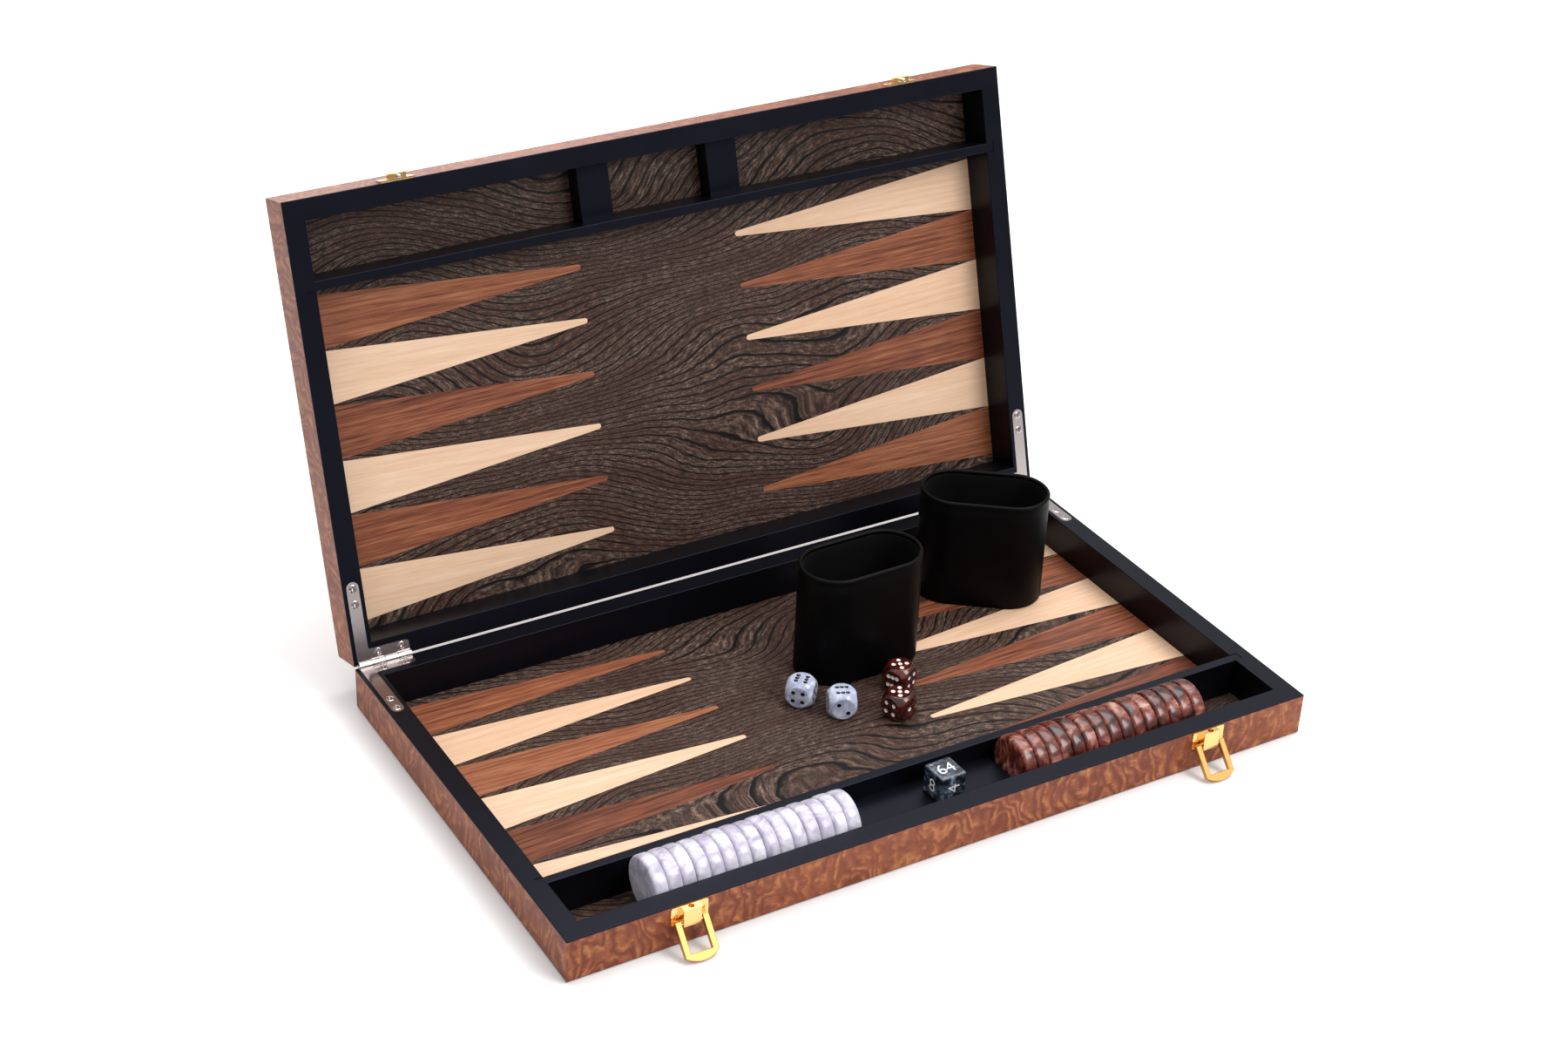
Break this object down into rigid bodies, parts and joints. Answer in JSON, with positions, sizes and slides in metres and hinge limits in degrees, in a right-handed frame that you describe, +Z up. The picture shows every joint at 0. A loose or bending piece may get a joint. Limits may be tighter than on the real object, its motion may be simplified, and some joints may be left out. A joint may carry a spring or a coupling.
{
  "type": "backgammon set",
  "caption": "Folding wooden backgammon case standing open, with inlaid points, checker trays, bail latches, dice cups, dice, doubling cube and checkers.",
  "frame": {"origin": "centre of the lower half's underside, on the table", "axes": "+X along the long side to the right, +Y from the front latches to the hinges, +Z up"},
  "size_m": [0.48, 0.3959, 0.2952],
  "materials": {
    "black_lacquer": "satin black lacquer over hardwood",
    "burl_veneer": "pomelle figured reddish veneer, satin varnish",
    "plywood": "raw plywood edge, hidden",
    "dark_elm_veneer": "dark smoked elm veneer, satin varnish",
    "walnut_veneer": "reddish walnut veneer, satin varnish",
    "maple_veneer": "pale maple veneer, satin varnish",
    "polished_nickel": "polished nickel plate",
    "steel_pin": "turned steel",
    "gold_plate": "bright gold plate",
    "black_leatherette": "matte black leatherette",
    "black_felt": "black felt",
    "white_pearl": "pearl white, gloss",
    "brown_marble": "marbled red-brown, gloss",
    "grey_pearl": "black and grey pearl, gloss"
  },
  "bodies": {
    "base_half": {"bail_pin_left": "gold_plate", "bail_pin_right": "gold_plate", "base_back_rail": "black_lacquer", "base_cube_platform": "black_lacquer", "base_field_veneer": "dark_elm_veneer", "base_front_rail": "black_lacquer", "base_hinge_leaf_left": "polished_nickel", "base_hinge_leaf_right": "polished_nickel", "base_hinge_screws": "polished_nickel", "base_latch_screws": "gold_plate", "base_left_rail": "black_lacquer", "base_maple_points": "maple_veneer", "base_outer_veneer": "burl_veneer", "base_panel": "plywood", "base_right_rail": "black_lacquer", "base_side_veneers": "burl_veneer", "base_tray_divider": "black_lacquer", "base_walnut_points": "walnut_veneer", "hinge_pin_left": "polished_nickel", "hinge_pin_right": "polished_nickel", "latch_block_left": "gold_plate", "latch_block_right": "gold_plate"},
    "lid_half": {"lid_back_rail": "black_lacquer", "lid_catch_left": "gold_plate", "lid_catch_right": "gold_plate", "lid_field_veneer": "dark_elm_veneer", "lid_front_rail": "black_lacquer", "lid_hinge_leaf_left": "polished_nickel", "lid_hinge_leaf_right": "polished_nickel", "lid_hinge_screws": "polished_nickel", "lid_latch_screws": "gold_plate", "lid_left_rail": "black_lacquer", "lid_maple_points": "maple_veneer", "lid_outer_veneer": "burl_veneer", "lid_panel": "plywood", "lid_right_rail": "black_lacquer", "lid_side_veneers": "burl_veneer", "lid_tray_block_left": "black_lacquer", "lid_tray_block_right": "black_lacquer", "lid_tray_divider": "black_lacquer", "lid_walnut_points": "walnut_veneer", "locating_pin_left": "steel_pin", "locating_pin_right": "steel_pin"},
    "bail_left": {"bail_left": "gold_plate"},
    "bail_right": {"bail_right": "gold_plate"},
    "cup_left": {"dice_cup_left": "black_leatherette", "cup_lining_left": "black_felt"},
    "cup_right": {"dice_cup_right": "black_leatherette", "cup_lining_right": "black_felt"},
    "white_die_left": {"white_die_left": "white_pearl"},
    "white_die_right": {"white_die_right": "white_pearl"},
    "brown_die_back": {"brown_die_back": "brown_marble"},
    "brown_die_front": {"brown_die_front": "brown_marble"},
    "doubling_cube": {"doubling_cube": "grey_pearl"},
    "white_checkers_left": {"white_checkers_left": "white_pearl"},
    "white_checkers_middle": {"white_checkers_middle": "white_pearl"},
    "white_checkers_right": {"white_checkers_right": "white_pearl"},
    "brown_checkers_left": {"brown_checkers_left": "brown_marble"},
    "brown_checkers_middle": {"brown_checkers_middle": "brown_marble"},
    "brown_checkers_right": {"brown_checkers_right": "brown_marble"}
  },
  "joints": [
    {"name": "lid_hinge", "type": "hinge", "parent": "base_half", "child": "lid_half", "pos_m": [0, 0.1376, 0.0274], "axis": [-1, 0, 0], "range_deg": [-45, 73.7]},
    {"name": "bail_left_pivot", "type": "hinge", "parent": "base_half", "child": "bail_left", "pos_m": [-0.1693, -0.1408, 0.0165], "axis": [-1, 0, 0], "range_deg": [0, 138]},
    {"name": "bail_right_pivot", "type": "hinge", "parent": "base_half", "child": "bail_right", "pos_m": [0.1693, -0.1408, 0.0165], "axis": [-1, 0, 0], "range_deg": [0, 138]},
    {"name": "cup_left_lift", "type": "slide", "parent": "base_half", "child": "cup_left", "axis": [0, 0, 1], "range_m": [0, 0.04]},
    {"name": "cup_right_lift", "type": "slide", "parent": "base_half", "child": "cup_right", "axis": [0, 0, 1], "range_m": [0, 0.04]},
    {"name": "white_die_left_lift", "type": "slide", "parent": "base_half", "child": "white_die_left", "axis": [0, 0, 1], "range_m": [0, 0.03]},
    {"name": "white_die_right_lift", "type": "slide", "parent": "base_half", "child": "white_die_right", "axis": [0, 0, 1], "range_m": [0, 0.03]},
    {"name": "brown_die_back_lift", "type": "slide", "parent": "base_half", "child": "brown_die_back", "axis": [0, 0, 1], "range_m": [0, 0.03]},
    {"name": "brown_die_front_lift", "type": "slide", "parent": "base_half", "child": "brown_die_front", "axis": [0, 0, 1], "range_m": [0, 0.03]},
    {"name": "doubling_cube_lift", "type": "slide", "parent": "base_half", "child": "doubling_cube", "axis": [0, 0, 1], "range_m": [0, 0.03]},
    {"name": "white_checkers_left_lift", "type": "slide", "parent": "base_half", "child": "white_checkers_left", "axis": [0, 0, 1], "range_m": [0, 0.035]},
    {"name": "white_checkers_middle_lift", "type": "slide", "parent": "base_half", "child": "white_checkers_middle", "axis": [0, 0, 1], "range_m": [0, 0.035]},
    {"name": "white_checkers_right_lift", "type": "slide", "parent": "base_half", "child": "white_checkers_right", "axis": [0, 0, 1], "range_m": [0, 0.035]},
    {"name": "brown_checkers_left_lift", "type": "slide", "parent": "base_half", "child": "brown_checkers_left", "axis": [0, 0, 1], "range_m": [0, 0.035]},
    {"name": "brown_checkers_middle_lift", "type": "slide", "parent": "base_half", "child": "brown_checkers_middle", "axis": [0, 0, 1], "range_m": [0, 0.035]},
    {"name": "brown_checkers_right_lift", "type": "slide", "parent": "base_half", "child": "brown_checkers_right", "axis": [0, 0, 1], "range_m": [0, 0.035]}
  ]
}
